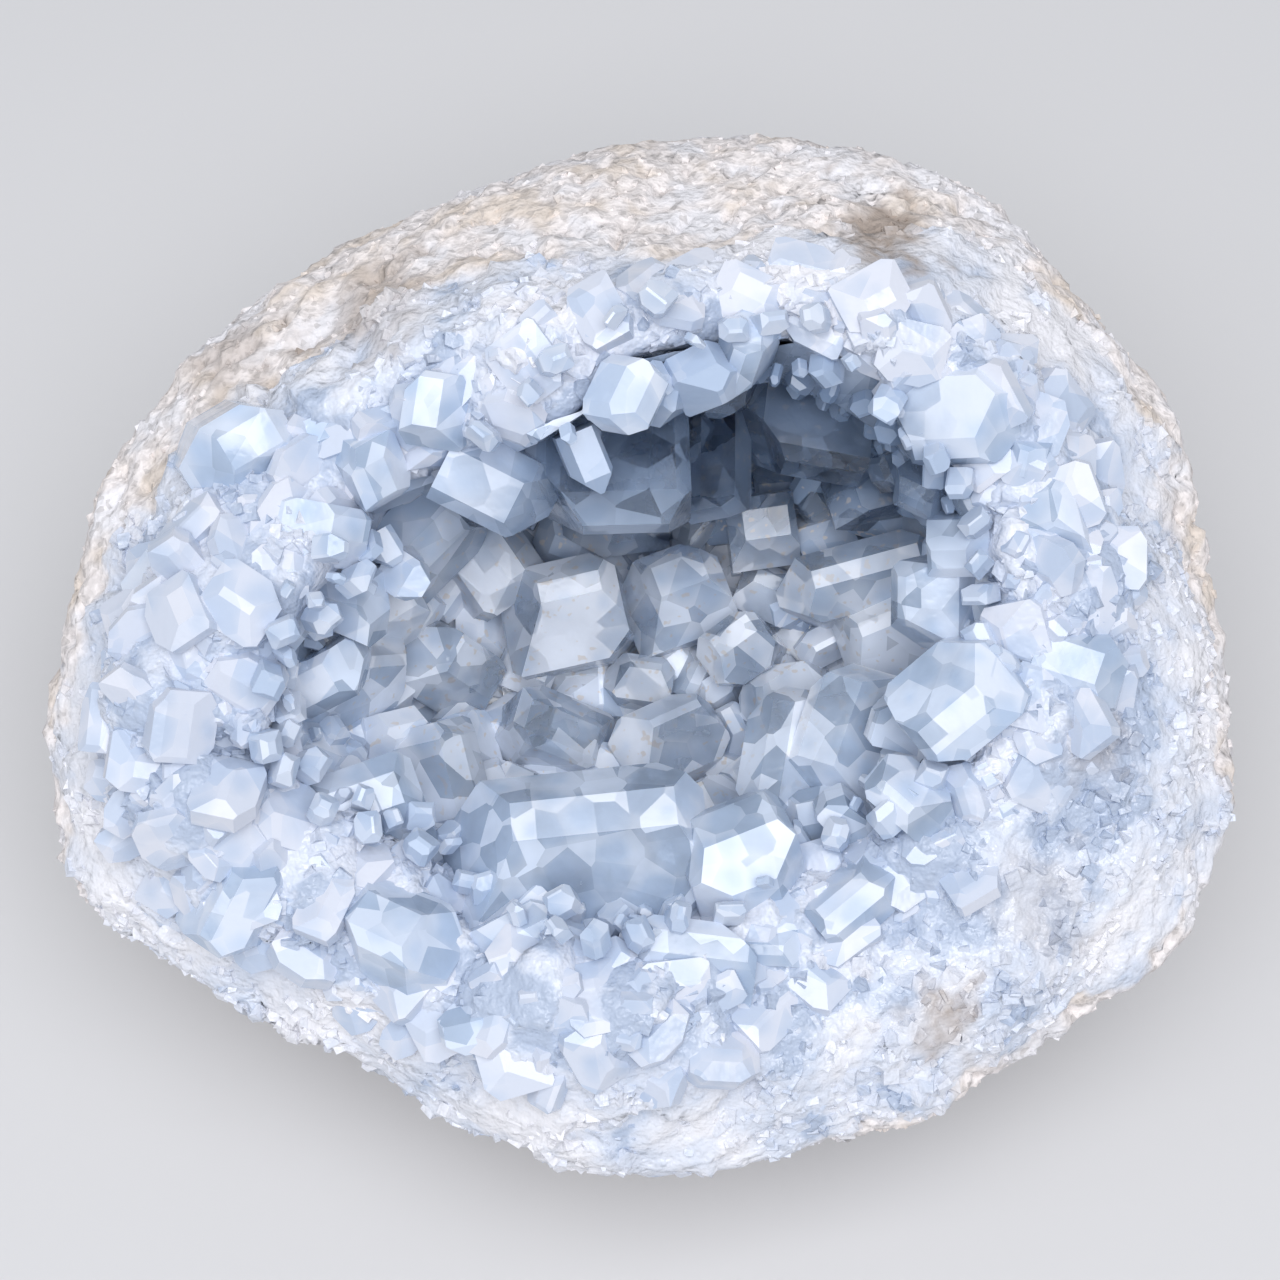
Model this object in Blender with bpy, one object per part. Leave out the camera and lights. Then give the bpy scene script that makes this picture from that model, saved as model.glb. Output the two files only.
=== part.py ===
"""Celestite geode: a broken stone nodule whose hollow is lined with pale blue crystals.

The geode is drawn in its face frame: u runs right and v up across the broken face, and
w points out of it. The face leans back, so the high side of the rim stands over the
hollow like a hood. World frame: +Z up, origin on the resting surface under the middle
of the geode. World lengths are in metres, and face lengths are in millimetres.
"""

import math
import random

import bmesh
import bpy
from mathutils import Matrix, Vector, noise

# Size and lean of the broken face
WIDTH = 0.100
DRAWN_WIDTH = 100.0  # the width, in millimetres, that the face lengths are drawn for
SCALE = WIDTH / DRAWN_WIDTH
FACE_ELEVATION = math.radians(62)
FACE_CENTRE = Vector((0.0002, -0.0005, 0.0345))  # puts the geode's middle over the origin
FACE_RIGHT = Vector((1, 0, 0))
FACE_UP = Vector((0, math.sin(FACE_ELEVATION), math.cos(FACE_ELEVATION)))
FACE_OUT = Vector((0, -math.cos(FACE_ELEVATION), math.sin(FACE_ELEVATION)))

# Radius of the nodule's outline seen square on to the face, every 22.5 degrees
# anticlockwise from the right
OUTLINE = (49.6, 49.3, 48.9, 46.4, 44.1, 43.5, 43.5, 47.8,
           49.8, 51.1, 45.0, 43.0, 44.9, 44.6, 48.5, 51.6)
BACK_DEPTH = 37.6  # from the outline's plane to the back of the nodule, along w
BACK_SHEAR = -0.176  # how far the outline leans back, per millimetre up the face

# Lines that the stone's wall passes on its way over the rim and into the hollow. Each
# has a share of the outline's radius and a height w, evenly spaced anticlockwise
RIND_EDGE = ((.955, .93, .74, .85, .955, .965, .965, .955), (7, 6, 11, 6, 7, 11, 13, 11.5))
CREST = ((.77, .75, .62, .70, .77, .77, .73, .77), (14, 16, 20, 18, 14, 14.5, 17, 15.5))
LIP = ((.60, .60, .60, .58, .51, .43, .53, .61, .60, .60, .63, .57, .48, .52, .50, .54),
       (9, 10, 12, 15, 18, 18, 15, 11, 9, 8, 8, 8, 9, 10, 10, 9))
WIDEST = ((.58, .61, .62, .62, .59, .54, .46, .52), (-2, 0, 3, 2, -2, -2, -2, -2))
FLOOR_EDGE = ((.38, .42, .46, .44, .38, .34, .28, .32), (-10, -10, -9, -9, -10, -10, -9, -10))
FLOOR_DEPTH = -13.0

# Stations count along the wall: the back pole, the outline, the lines above, the floor
OUTLINE_STATION = 3
LIP_STATION = 6
FLOOR_STATION = 9
STATION_STEP = 0.02
SEGMENTS = 48
SHELL_STATIONS = (0, .5, .95, 1.35, 1.7, 2.05, 2.4, 2.7, 3, 3.35, 3.7, 4, 4.35, 4.7, 5,
                  5.35, 5.7, 6, 6.6, 7.3, 8, 8.5, 9)

# Crust that carries the crystals. Its edge is a station, evenly spaced anticlockwise
CRUST_EDGE = (4.75, 5.0, 5.6, 5.2, 4.45, 4.4, 4.65, 5.3)
CRUST_FULL = .28  # share of the way to the floor where the crust has its full height
CRUST_PARTS = (0, .1, CRUST_FULL, .46, .64, .82, 1)  # shares, from its edge to the floor
CRUST_SEGMENTS = 28
CRUST_GAP = 0.5  # clear of the stone, so that the two solids never touch
CRUST_TOP = 3.2
CRUST_SUNK = -0.6  # where the uncut crust starts, under the stone's surface
MOULD_HEIGHT = 250.0

# Roughness of the stone: the size and height of its lumps, knobs and flat chips
LUMP_SIZE, LUMP_HEIGHT = 17.0, 2.0
KNOB_SIZE, KNOB_HEIGHT = 5.5, 1.2
CHIP_SIZE, CHIP_SLOPE = 6.5, 0.22
CHIP_SHUFFLE = 7.3  # spreads the chips' middles, so that each chip draws its own tilt
DRIFT_STEP = Vector((37, 11, 23))  # keeps the three parts of a drift apart
KNOB_FADE = 0.4  # stations on each side of the lip where knobs and chips fade out

# Small crystals, scattered from large to small wherever there is room
SCATTER_SEED = 16
SCATTER_TRIES = 400
SCATTER_WIDTHS = (9.5, 7.6, 6.2, 5, 4.2)
SCATTER_SPACING = 0.46
SCATTER_FROM, SCATTER_TO = 0.09, 0.995  # shares of the way to the floor's middle
SCATTER_SLANT = 0.35
SCATTER_LEAN = 0.45
SCATTER_LENGTHS = (.3, .85)  # over the crust at its edge and in the hollow, in widths
SCATTER_SHORTER = 0.7  # the shortest in the hollow, as a share of the longest
SCATTER_DEPTHS = (.6, .95)  # in widths
BURIED = 2.2
PLAIN_WIDTH = 6.0  # crystals narrower than this keep their square corners
KEPT_CLEAR = (((-2, 18, 18), 8.5), ((16, 21, 13), 6))  # under the hood: a place, its radius

# Cuts that shape a crystal: the prism's corners, and the two pairs of faces at its end
PRISM_ANGLE, PRISM_REACH = math.radians(52), (.68, .92)
CHISEL_ANGLE, CHISEL_REACHES = math.radians(38), ((-.12, .1), (.16, .42))
SHOULDER_ANGLE, SHOULDER_REACHES = math.radians(50), ((.1, .3), (.3, .44))

# Each large crystal: the middle of its base (u, v, w), the direction that it grows in,
# its turn in degrees, then its width, depth and length
LARGE_CRYSTALS = {
    "low_middle_block": ((-5.5, -23, 3), (-.02, .45, .9), 6, 23, 15, 14),
    "low_left_block": ((-24.5, -18, 2), (.15, .15, .97), 20, 12, 11.5, 12),
    "left_dark_block": ((-33, -3.5, -3), (.78, .02, .62), 4, 11, 9.5, 13.5),
    "hanging_block": ((-3, 24, 6), (.03, -.93, .36), 0, 13.5, 10, 17),
    "hanging_block_behind": ((5.5, 23, 0), (-.02, -.9, .42), 25, 7.5, 7, 15),
    "dark_hanging_wedge": ((16, 25, -2), (-.12, -.88, .46), -8, 13.5, 8, 13.5),
    "upper_right_wedge": ((34, 15, 4), (-.9, -.2, .38), 62, 8.5, 8.5, 13),
    "right_white_block": ((36, 8, 6.5), (-.45, 0, .9), 15, 9, 9.5, 11),
    "right_flat_face": ((37, -4, 6), (-.25, .15, .95), -20, 9.5, 8.5, 11.5),
    "bottom_block": ((2.5, -30, 7.5), (.08, .3, .95), -6, 12, 8.5, 11.5),
    "bottom_left_block": ((-4.5, -31, 8.5), (-.15, .3, .94), 24, 7, 8.5, 10),
    "frosted_block": ((-9.5, -25.5, 6), (0, -.05, 1), 28, 11, 7.5, 11.5),
    "right_middle_blade": ((13.5, -13.5, -4), (-.12, .3, .95), 80, 13, 7.5, 12),
    "right_middle_block": ((20.5, -11, -3), (-.25, .25, .94), 70, 12, 9, 12.5),
    "right_middle_chip": ((16, -18, 1), (-.1, .3, .95), 10, 7, 6.5, 9),
    "floor_left_block": ((-6, 1, -10), (-.1, .12, .99), 12, 11, 9, 11),
    "floor_bright_chip": ((10, -2, -10), (-.2, .1, .97), 35, 6.5, 5.5, 9.5),
    "floor_right_blade": ((20, 4, -8), (-.15, .12, .98), 14, 14.5, 6, 11),
    "floor_right_block": ((24, -1, -7), (-.3, .1, .95), 20, 9.5, 8.5, 10.5),
    "floor_far_right_chip": ((28, 2, -3), (-.45, .1, .89), -30, 6.5, 6.5, 9),
    "floor_back_block": ((10.5, 10, -11), (.02, -.1, .99), 8, 6, 6.5, 10.5),
    "left_small_block": ((-24, 2.5, -5), (.3, -.1, .95), 30, 7, 6.5, 9),
    "upper_left_block": ((-27, 17, 3), (.42, -.38, .82), 12, 10.5, 10, 11.5),
    "upper_left_low_block": ((-22, 10, -5), (.42, -.25, .87), 40, 9.5, 9, 10.5),
    "left_milky_block": ((-36, 2, 5.5), (.18, 0, .98), 15, 14, 14, 12),
    "left_milky_chip": ((-35, -8, 6), (.15, .05, .99), 50, 11, 9, 11.5),
    "far_left_block": ((-34, 15, 8), (.25, -.12, .96), 30, 9.5, 9, 10.5),
}

# Colour and roughness of the two materials
STONE_COLOUR, STONE_ROUGHNESS = (0.78, 0.78, 0.80, 1), 0.9
CRYSTAL_COLOUR, CRYSTAL_ROUGHNESS = (0.55, 0.68, 0.84, 1), 0.2


def smooth_between(before, start, end, after, part):
    """Catmull-Rom curve from start to end, through the values before and after them."""
    bend = 2 * before - 5 * start + 4 * end - after
    bend += (3 * start - before - 3 * end + after) * part
    return start + ((end - before) + bend * part) * part / 2


def around(values, angle):
    """Value at an angle of a closed smooth curve through evenly spaced values."""
    place = angle / math.tau * len(values)
    first = math.floor(place)
    four = [values[(first + step) % len(values)] for step in (-1, 0, 1, 2)]
    return smooth_between(*four, place - first)


def back_point(angle, station):
    """Radius and height of the nodule's rounded back, from its pole to its outline."""
    latitude = math.pi / 2 * (1 - station / OUTLINE_STATION)
    radius = around(OUTLINE, angle) * math.cos(latitude)
    lean = BACK_SHEAR * radius * math.sin(angle)
    return Vector((radius, lean - BACK_DEPTH * math.sin(latitude)))


def wall_point(angle, station):
    """Radius and height of the stone's surface at a station, before it is roughened."""
    if station <= OUTLINE_STATION:
        return back_point(angle, station)
    outline = around(OUTLINE, angle)
    lines = [back_point(angle, OUTLINE_STATION - 1), back_point(angle, OUTLINE_STATION)]
    for shares, heights in (RIND_EDGE, CREST, LIP, WIDEST, FLOOR_EDGE):
        lines.append(Vector((outline * around(shares, angle), around(heights, angle))))
    lines += [Vector((0, FLOOR_DEPTH)), Vector((-lines[-1].x, lines[-1].y))]
    first = min(int(station), FLOOR_STATION - 1) - OUTLINE_STATION
    part = station - OUTLINE_STATION - first
    return smooth_between(*lines[first:first + 4], part)


def outward(angle, station):
    """Direction, in face coordinates, that points out of the stone at a station."""
    low = max(station - STATION_STEP, 0)
    high = min(station + STATION_STEP, FLOOR_STATION)
    along = wall_point(angle, high) - wall_point(angle, low)
    return in_face(angle, Vector((along.y, -along.x)).normalized())


def in_face(angle, point):
    """Face coordinates of a radius and height at an angle."""
    return Vector((point.x * math.cos(angle), point.x * math.sin(angle), point.y))


def drift(place):
    """Smoothly changing random vector at a place."""
    return Vector([noise.noise(place + DRIFT_STEP * axis) for axis in range(3)])


def chip_height(place):
    """Height of a surface broken into flat chips, each tilted its own way."""
    middle = noise.voronoi(place / CHIP_SIZE)[1][0]
    tilt = noise.cell_vector(middle * CHIP_SHUFFLE) * 2 - Vector((1, 1, 1))
    return (place - middle * CHIP_SIZE).dot(tilt) * CHIP_SLOPE


def surface(angle, station, lift=0.0):
    """Face point of the rough stone at a station, lifted off it by so many millimetres.

    The whole stone is lumpy. Its knobs and chips stop at the lip of the hollow.
    """
    place = in_face(angle, wall_point(angle, station))
    out = outward(angle, station)
    fade = max(0.0, min(1.0, (LIP_STATION + KNOB_FADE - station) / KNOB_FADE / 2))
    broken = max(0.0, min(1.0, station - OUTLINE_STATION)) * fade
    lumps = drift(place / LUMP_SIZE) * LUMP_HEIGHT
    knobs = drift(place / KNOB_SIZE) * KNOB_HEIGHT
    return place + lumps + knobs * fade + out * (chip_height(place) * broken + lift)


def to_world(place):
    """World position of a face point in millimetres."""
    across = FACE_RIGHT * place.x + FACE_UP * place.y + FACE_OUT * place.z
    return FACE_CENTRE + across * SCALE


def wrap(rings, segments):
    """Closed mesh whose rings, from pole to pole, lie where each function puts them."""
    mesh = bmesh.new()
    bmesh.ops.create_uvsphere(mesh, u_segments=segments, v_segments=len(rings) - 1, radius=1)
    for vert in mesh.verts:
        angle = math.atan2(vert.co.y, vert.co.x)
        row = round(math.acos(max(-1, min(1, vert.co.z))) / math.pi * (len(rings) - 1))
        vert.co = to_world(rings[row](angle))
    bmesh.ops.triangulate(mesh, faces=mesh.faces, quad_method="FIXED")
    return mesh


def slice_off(mesh, point, normal):
    """Cuts away what lies beyond a plane and closes the cut with one flat face."""
    everything = mesh.verts[:] + mesh.edges[:] + mesh.faces[:]
    cut = bmesh.ops.bisect_plane(mesh, geom=everything, plane_co=point,
                                 plane_no=normal, clear_outer=True)
    edges = [item for item in cut["geom_cut"] if isinstance(item, bmesh.types.BMEdge)]
    if edges:
        bmesh.ops.contextual_create(mesh, geom=edges)


def material(name, colour, roughness):
    """Principled material of one plain colour."""
    made = bpy.data.materials.new(name)
    made.use_nodes = True
    shader = made.node_tree.nodes["Principled BSDF"]
    shader.inputs["Base Color"].default_value = colour
    shader.inputs["Roughness"].default_value = roughness
    made.diffuse_color = colour
    return made


def add_object(name, mesh, finish=None, collection=None):
    """Turns a bmesh into an object, which is a helper unless it has a finish."""
    mesh.normal_update()
    bmesh.ops.recalc_face_normals(mesh, faces=mesh.faces)
    data = bpy.data.meshes.new(name)
    mesh.to_mesh(data)
    mesh.free()
    made = bpy.data.objects.new(name, data)
    (collection or bpy.context.scene.collection).objects.link(made)
    if finish:
        data.materials.append(finish)
    else:
        made.hide_render = True
        made.display_type = "WIRE"
    return made


def boolean(target, operation, helper):
    """Adds a Boolean with a helper object, or with each object of a collection.

    The crystals cross each other in hundreds of places. The manifold solver joins them
    into a closed surface, where the exact one leaves slits along some of the crossings.
    """
    step = target.modifiers.new(operation.lower(), "BOOLEAN")
    step.operation = operation
    step.solver = "MANIFOLD"
    if isinstance(helper, bpy.types.Collection):
        step.operand_type = "COLLECTION"
        step.collection = helper
    else:
        step.object = helper


def stone_ring(station, lift=0.0):
    """Function that puts a ring on the stone at a station."""
    return lambda angle: surface(angle, station, lift)


def make_shell():
    """The stone nodule, open on its face and cut flat where it rests."""
    mesh = wrap([stone_ring(station) for station in SHELL_STATIONS], SEGMENTS)
    slice_off(mesh, Vector((0, 0, 0)), Vector((0, 0, -1)))
    add_object("geode_shell", mesh, material("geode_stone", STONE_COLOUR, STONE_ROUGHNESS))


def crust_station(angle, part):
    """Station at a share of the way from the crust's edge to the floor's middle."""
    edge = around(CRUST_EDGE, angle)
    return edge + (FLOOR_STATION - edge) * part


def crust_top(part):
    """Height of the crust over the stone, which comes out of it a little past its edge."""
    return CRUST_SUNK + (CRUST_TOP - CRUST_SUNK) * min(1, part / CRUST_FULL)


def crust_ring(part, lift):
    """Function that puts a ring of the crust over the stone."""
    return lambda angle: surface(angle, crust_station(angle, part), lift)


def make_lining(finish):
    """The crust without its crystals: a bowl that follows the hollow, sunk in the stone."""
    under = [crust_ring(part, 2 * CRUST_SUNK) for part in reversed(CRUST_PARTS)]
    over = [crust_ring(part, crust_top(part)) for part in CRUST_PARTS]
    return add_object("crystal_crust", wrap(under + over, CRUST_SEGMENTS), finish)


def make_mould():
    """Helper solid: all the space over the stone that the crust may fill."""
    stations = [station for station in SHELL_STATIONS if station >= OUTLINE_STATION]
    rings = [stone_ring(station, CRUST_GAP) for station in stations]
    rings.insert(0, lambda angle: Vector((0, 0, MOULD_HEIGHT)))
    return add_object("crust_mould", wrap(rings, SEGMENTS))


def crystal(width, depth, length, chance):
    """One blunt crystal standing on the origin along +Z: a block whose end is cut to a
    lopsided chisel, and whose corners are cut to a prism on all but the small ones."""
    mesh = bmesh.new()
    bmesh.ops.create_cube(mesh, size=1)
    bmesh.ops.translate(mesh, vec=(0, 0, 0.5), verts=mesh.verts)
    bmesh.ops.scale(mesh, vec=(width, depth, length), verts=mesh.verts)
    for side, chisel_reach, shoulder_reach in zip((-1, 1), CHISEL_REACHES, SHOULDER_REACHES):
        normal = Vector((0, side * math.sin(CHISEL_ANGLE), math.cos(CHISEL_ANGLE)))
        away = side * depth * chance.uniform(*chisel_reach)
        slice_off(mesh, Vector((0, away, length)), normal)
        normal = Vector((side * math.sin(SHOULDER_ANGLE), 0, math.cos(SHOULDER_ANGLE)))
        away = side * width * chance.uniform(*shoulder_reach)
        slice_off(mesh, Vector((away, 0, length)), normal)
        for other in (-1, 1) if width > PLAIN_WIDTH else ():
            normal = Vector((side * math.cos(PRISM_ANGLE), other * math.sin(PRISM_ANGLE), 0))
            reach = 0.5 * (width * abs(normal.x) + depth * abs(normal.y))
            slice_off(mesh, normal * reach * chance.uniform(*PRISM_REACH), normal)
    return mesh


def frame_along(growth):
    """Rotation whose Z runs along a growth direction and whose X stays level."""
    z = (FACE_RIGHT * growth[0] + FACE_UP * growth[1] + FACE_OUT * growth[2]).normalized()
    x = (FACE_RIGHT - z * FACE_RIGHT.dot(z)).normalized()
    return Matrix((x, z.cross(x), z)).transposed().to_4x4()


def place_crystal(collection, name, mesh, base, growth, turn):
    """Adds a helper crystal that stands on a face point and is turned about itself."""
    matrix = Matrix.Translation(to_world(Vector(base))) @ frame_along(growth)
    matrix = matrix @ Matrix.Rotation(turn, 4, "Z") @ Matrix.Scale(SCALE, 4)
    mesh.transform(matrix)
    add_object(name, mesh, collection=collection)


def scatter(collection, taken, chance):
    """Adds small crystals wherever they have room on the crust."""
    for width in SCATTER_WIDTHS:
        for _ in range(SCATTER_TRIES):
            angle = chance.uniform(0, math.tau)
            part = chance.uniform(SCATTER_FROM, SCATTER_TO)
            station = crust_station(angle, part)
            ground = surface(angle, station, crust_top(part))
            room = SCATTER_SPACING * width
            if any((ground - place).length < room + size for place, size in taken):
                continue
            lean = Vector([chance.uniform(-SCATTER_LEAN, SCATTER_LEAN) for _ in range(3)])
            growth = outward(angle, station) + lean + Vector((0, 0, SCATTER_SLANT))
            growth.normalize()
            inside = min(1, part / CRUST_FULL)
            shortest, longest = SCATTER_LENGTHS
            rise = shortest + (longest - shortest) * inside * chance.uniform(SCATTER_SHORTER, 1)
            length = BURIED + width * rise
            depth = width * chance.uniform(*SCATTER_DEPTHS)
            shape = crystal(width, depth, length, chance)
            turn = chance.uniform(0, math.tau)
            base = ground - growth * BURIED
            place_crystal(collection, "small_crystal", shape, base, growth, turn)
            taken.append((ground, room))


def make_crystals():
    """Helper solids: the large crystals, and small ones scattered between them."""
    collection = bpy.data.collections.new("crust_crystals")
    bpy.context.scene.collection.children.link(collection)
    chance = random.Random(SCATTER_SEED)
    taken = [(Vector(place), radius) for place, radius in KEPT_CLEAR]
    for name, (base, growth, turn, width, depth, length) in LARGE_CRYSTALS.items():
        shape = crystal(width, depth, length, chance)
        place_crystal(collection, name, shape, base, growth, math.radians(turn))
        middle = Vector(base) + Vector(growth).normalized() * length / 2
        taken.append((middle, (width + depth) / 4))
    scatter(collection, taken, chance)
    return collection


def bodies_of(mesh):
    """Lists of faces, one for each separate body or sealed gap of a mesh."""
    waiting, bodies = set(mesh.faces), []
    while waiting:
        body, fresh = [], [waiting.pop()]
        while fresh:
            face = fresh.pop()
            body.append(face)
            near = {other for edge in face.edges for other in edge.link_faces} & waiting
            waiting -= near
            fresh += near
        bodies.append(body)
    return bodies


def keep_main_body(target):
    """Applies an object's modifiers and drops the chips and sealed gaps that they leave."""
    graph = bpy.context.evaluated_depsgraph_get()
    mesh = bmesh.new()
    mesh.from_mesh(target.evaluated_get(graph).to_mesh())
    target.modifiers.clear()
    for body in sorted(bodies_of(mesh), key=len)[:-1]:
        bmesh.ops.delete(mesh, geom=body, context="FACES")
    mesh.to_mesh(target.data)
    mesh.free()


def make_crust():
    """The lining with all its crystals in one solid, clear of the stone."""
    crust = make_lining(material("celestite", CRYSTAL_COLOUR, CRYSTAL_ROUGHNESS))
    boolean(crust, "UNION", make_crystals())
    boolean(crust, "INTERSECT", make_mould())
    keep_main_body(crust)


def main():
    """Clears the scene and builds the geode."""
    for old in list(bpy.data.objects):
        bpy.data.objects.remove(old)
    make_shell()
    make_crust()


if __name__ == "__main__":
    main()
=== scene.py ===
"""The looks of a celestite geode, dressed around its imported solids.

Places are in the geode's face frame, in millimetres, unless a name says otherwise: u runs
right and v up across the broken face, and w points out of it. The hollow opens along w.
"""

import logging
import math
from dataclasses import dataclass, field
from enum import Enum, IntEnum

import bmesh
import bpy
import numpy as np
from mathutils import Matrix, Vector, noise
from mathutils.bvhtree import BVHTree


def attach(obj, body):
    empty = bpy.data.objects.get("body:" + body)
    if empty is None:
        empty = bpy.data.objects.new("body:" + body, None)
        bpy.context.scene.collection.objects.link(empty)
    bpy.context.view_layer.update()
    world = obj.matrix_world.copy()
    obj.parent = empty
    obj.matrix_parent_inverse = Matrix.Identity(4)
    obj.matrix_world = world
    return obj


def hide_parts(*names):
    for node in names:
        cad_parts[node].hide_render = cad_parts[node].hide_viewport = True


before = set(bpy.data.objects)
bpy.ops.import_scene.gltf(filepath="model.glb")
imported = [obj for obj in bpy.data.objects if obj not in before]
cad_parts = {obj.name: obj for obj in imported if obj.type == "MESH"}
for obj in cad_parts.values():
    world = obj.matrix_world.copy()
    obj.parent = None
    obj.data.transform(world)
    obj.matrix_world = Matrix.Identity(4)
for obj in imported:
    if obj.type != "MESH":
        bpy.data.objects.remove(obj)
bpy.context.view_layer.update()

Colour = tuple[float, float, float]
Shape = tuple[np.ndarray, np.ndarray, np.ndarray]

MM = 0.001
SHELL_NODE, CRUST_NODE = "geode_shell", "crystal_crust"
STONE_SLOT, CRYSTAL_SLOT = "geode_stone", "celestite"

log = logging.getLogger("geode")


@dataclass(frozen=True)
class FaceFrame:
    """The broken face's coordinates and their way to the world's."""

    elevation: float = math.radians(62)
    centre: tuple[float, float, float] = (0.0002, -0.0005, 0.0345)

    @property
    def axes(self) -> np.ndarray:
        """World directions of u, v and w, one in each row."""
        low, high = math.cos(self.elevation), math.sin(self.elevation)
        return np.array(((1, 0, 0), (0, high, low), (0, -low, high)))

    def from_world(self, points: np.ndarray) -> np.ndarray:
        """Face places, in millimetres, of world points in metres."""
        return (points - np.array(self.centre)) @ self.axes.T / MM

    def to_world(self, places: np.ndarray) -> np.ndarray:
        """World points, in metres, of face places in millimetres."""
        return places @ self.axes * MM + np.array(self.centre)


FACE = FaceFrame()


def around(values: tuple[float, ...], angles: np.ndarray) -> np.ndarray:
    """Reads a closed smooth curve through evenly spaced values.

    Args:
        values: The curve's values, anticlockwise from the right.
        angles: Angles round the face, in radians.

    Returns:
        The curve's value at each angle.
    """
    place = angles / math.tau * len(values)
    first = np.floor(place).astype(int)
    part = place - first
    before, start, end, after = (
        np.take(values, (first + step) % len(values)) for step in (-1, 0, 1, 2))
    bend = 2 * before - 5 * start + 4 * end - after
    bend = bend + (3 * start - before - 3 * end + after) * part
    return start + ((end - before) + bend * part) * part / 2


def fade(values: np.ndarray, low: float, high: float) -> np.ndarray:
    """Runs smoothly from 0 at low to 1 at high."""
    part = np.clip((values - low) / (high - low), 0, 1)
    return part * part * (3 - 2 * part)


class Draw(IntEnum):
    """Which of many unlike noises a surface reads."""

    RIND_EDGE = 1
    RIND_FRAY = 2
    STAIN = 3
    RIND_LUMPS = 4
    RIND_PITS = 8
    TONE = 9
    FINE_TONE = 10
    SPOTS = 11
    MASS = 12
    PATCHES = 14


def waves(places: np.ndarray, size: float, draw: int) -> np.ndarray:
    """Smooth noise at many places.

    Args:
        places: Where to read it.
        size: The width of its lumps.
        draw: Which of many unlike noises to read.

    Returns:
        A number at each place, from -1 to 1 and mostly near 0.
    """
    away = Vector((37.7, 11.3, 23.1)) * draw
    return np.array([noise.noise(Vector(place) / size + away) for place in places.tolist()])


def chips(places: np.ndarray, size: float, slope: float) -> np.ndarray:
    """Height of a surface broken into flat chips, each tilted its own way.

    Args:
        places: Where to read it.
        size: The width of a chip.
        slope: How steeply the chips tilt.

    Returns:
        The height at each place, in millimetres.
    """
    shuffle, ones = 7.3, Vector((1, 1, 1))
    heights = []
    for place in map(Vector, places.tolist()):
        middle = noise.voronoi(place / size)[1][0]
        tilt = noise.cell_vector(middle * shuffle) * 2 - ones
        heights.append((place - middle * size).dot(tilt) * slope)
    return np.array(heights)


@dataclass(frozen=True)
class Stain:
    """A soft patch of tan or brown on the stone, seen square on to the face."""

    place: tuple[float, float]
    radius: float
    strength: float


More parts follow.
